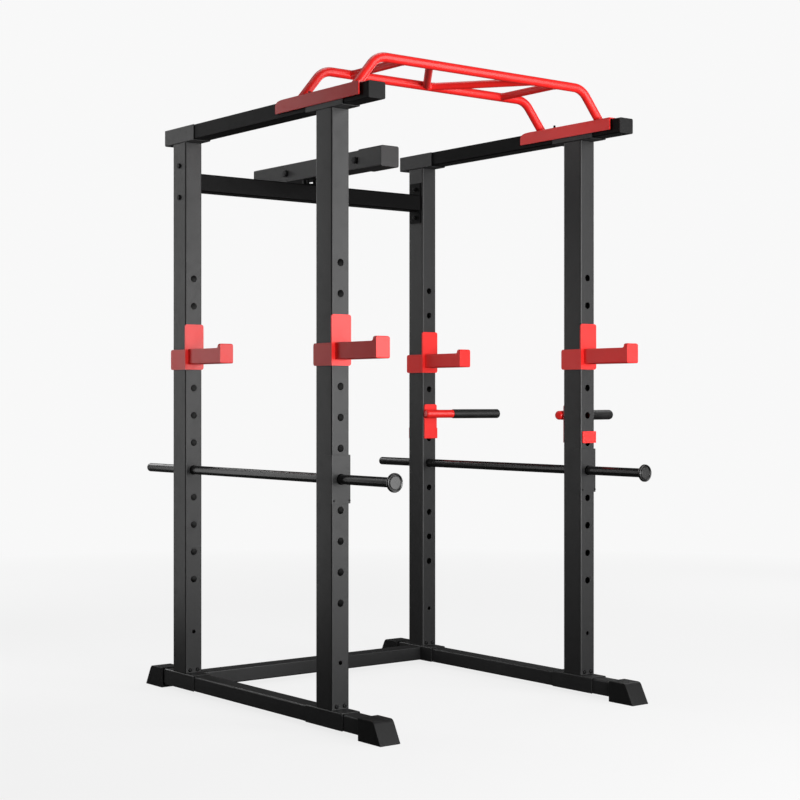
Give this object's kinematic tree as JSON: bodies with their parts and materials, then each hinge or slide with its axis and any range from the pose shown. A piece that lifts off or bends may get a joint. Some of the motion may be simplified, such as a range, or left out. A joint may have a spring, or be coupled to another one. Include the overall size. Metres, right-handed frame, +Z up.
{
  "type": "power cage",
  "caption": "Free-standing power cage of drilled tube uprights on footed rails, with bar hooks, safety bars, dip handles, a multi-grip pull-up bar and a rear cable beam.",
  "frame": {"origin": "middle of the footprint, bar hooks and dip handles included, at floor level", "axes": "+Z up; -Y is the open front where the safety bars pull out; +X is the side with the dip handles"},
  "size_m": [1.3408, 1.483, 2.0347],
  "materials": {
    "charcoal_powder_coat": "satin powder coat, fine texture",
    "black_powder_coat": "satin powder coat, fine texture",
    "gloss_black_paint": "smooth semi-gloss paint",
    "red_powder_coat": "semi-gloss powder coat",
    "black_plastic": "moulded, matte",
    "grip_rubber": "soft, matte",
    "bolt_steel": "black oxide"
  },
  "bodies": {
    "frame": {"base_rail_left": "charcoal_powder_coat", "base_rail_right": "charcoal_powder_coat", "base_saddle_front_left": "charcoal_powder_coat", "base_saddle_front_right": "charcoal_powder_coat", "base_saddle_rear_left": "charcoal_powder_coat", "base_saddle_rear_right": "charcoal_powder_coat", "cable_beam": "charcoal_powder_coat", "cable_beam_cap": "black_plastic", "cable_beam_mount": "black_powder_coat", "cable_beam_sleeve": "charcoal_powder_coat", "collar_left": "charcoal_powder_coat", "collar_right": "charcoal_powder_coat", "cross_bolt_lower_left": "bolt_steel", "cross_bolt_lower_right": "bolt_steel", "cross_bolt_upper_left": "bolt_steel", "cross_bolt_upper_right": "bolt_steel", "foot_front_left": "black_plastic", "foot_front_right": "black_plastic", "foot_rear_left": "black_plastic", "foot_rear_right": "black_plastic", "pullup_bracket_left": "red_powder_coat", "pullup_bracket_right": "red_powder_coat", "pullup_front_bar": "red_powder_coat", "pullup_inner_grip_left": "red_powder_coat", "pullup_inner_grip_right": "red_powder_coat", "pullup_outer_grip_left": "red_powder_coat", "pullup_outer_grip_right": "red_powder_coat", "pullup_rear_bar": "red_powder_coat", "rear_floor_crossmember": "charcoal_powder_coat", "rear_upper_crossmember": "black_powder_coat", "top_rail_cap_front_left": "black_plastic", "top_rail_cap_front_right": "black_plastic", "top_rail_cap_rear_left": "black_plastic", "top_rail_cap_rear_right": "black_plastic", "top_rail_left": "black_powder_coat", "top_rail_right": "black_powder_coat", "top_saddle_front_left": "charcoal_powder_coat", "top_saddle_front_right": "charcoal_powder_coat", "top_saddle_rear_left": "charcoal_powder_coat", "top_saddle_rear_right": "charcoal_powder_coat", "upright_front_left": "charcoal_powder_coat", "upright_front_right": "charcoal_powder_coat", "upright_rear_left": "charcoal_powder_coat", "upright_rear_right": "charcoal_powder_coat"},
    "hook_front_left": {"bar_hook_front_left": "red_powder_coat"},
    "hook_front_right": {"bar_hook_front_right": "red_powder_coat"},
    "hook_rear_left": {"bar_hook_rear_left": "red_powder_coat"},
    "hook_rear_right": {"bar_hook_rear_right": "red_powder_coat"},
    "dip_handle_front": {"dip_bracket_front": "red_powder_coat", "dip_tube_front": "red_powder_coat", "dip_grip_front": "grip_rubber"},
    "dip_handle_rear": {"dip_bracket_rear": "red_powder_coat", "dip_tube_rear": "red_powder_coat", "dip_grip_rear": "grip_rubber"},
    "safety_left": {"safety_bar_left": "gloss_black_paint", "safety_bar_flange_left": "gloss_black_paint", "safety_bar_plug_left": "black_plastic"},
    "safety_right": {"safety_bar_right": "gloss_black_paint", "safety_bar_flange_right": "gloss_black_paint", "safety_bar_plug_right": "black_plastic"}
  },
  "joints": [
    {"name": "hook_twist_front_left", "type": "hinge", "parent": "frame", "child": "hook_front_left", "pos_m": [-0.63206, -0.4735, 1.2175], "axis": [0, 1, 0], "range_deg": [0, 90]},
    {"name": "hook_twist_front_right", "type": "hinge", "parent": "frame", "child": "hook_front_right", "pos_m": [0.39394, -0.4735, 1.2175], "axis": [0, 1, 0], "range_deg": [0, 90]},
    {"name": "hook_twist_rear_left", "type": "hinge", "parent": "frame", "child": "hook_rear_left", "pos_m": [-0.63206, 0.3745, 1.2175], "axis": [0, 1, 0], "range_deg": [0, 90]},
    {"name": "hook_twist_rear_right", "type": "hinge", "parent": "frame", "child": "hook_rear_right", "pos_m": [0.39394, 0.3745, 1.2175], "axis": [0, 1, 0], "range_deg": [0, 90]},
    {"name": "dip_twist_front", "type": "hinge", "parent": "frame", "child": "dip_handle_front", "pos_m": [0.39394, -0.3895, 0.94], "axis": [0, -1, 0], "range_deg": [0, 60]},
    {"name": "dip_twist_rear", "type": "hinge", "parent": "frame", "child": "dip_handle_rear", "pos_m": [0.39394, 0.3745, 0.94], "axis": [0, -1, 0], "range_deg": [0, 60]},
    {"name": "safety_slide_left", "type": "slide", "parent": "frame", "child": "safety_left", "axis": [0, 1, 0], "range_m": [-1.04, 0.25]},
    {"name": "safety_slide_right", "type": "slide", "parent": "frame", "child": "safety_right", "axis": [0, 1, 0], "range_m": [-1.04, 0.25]}
  ]
}
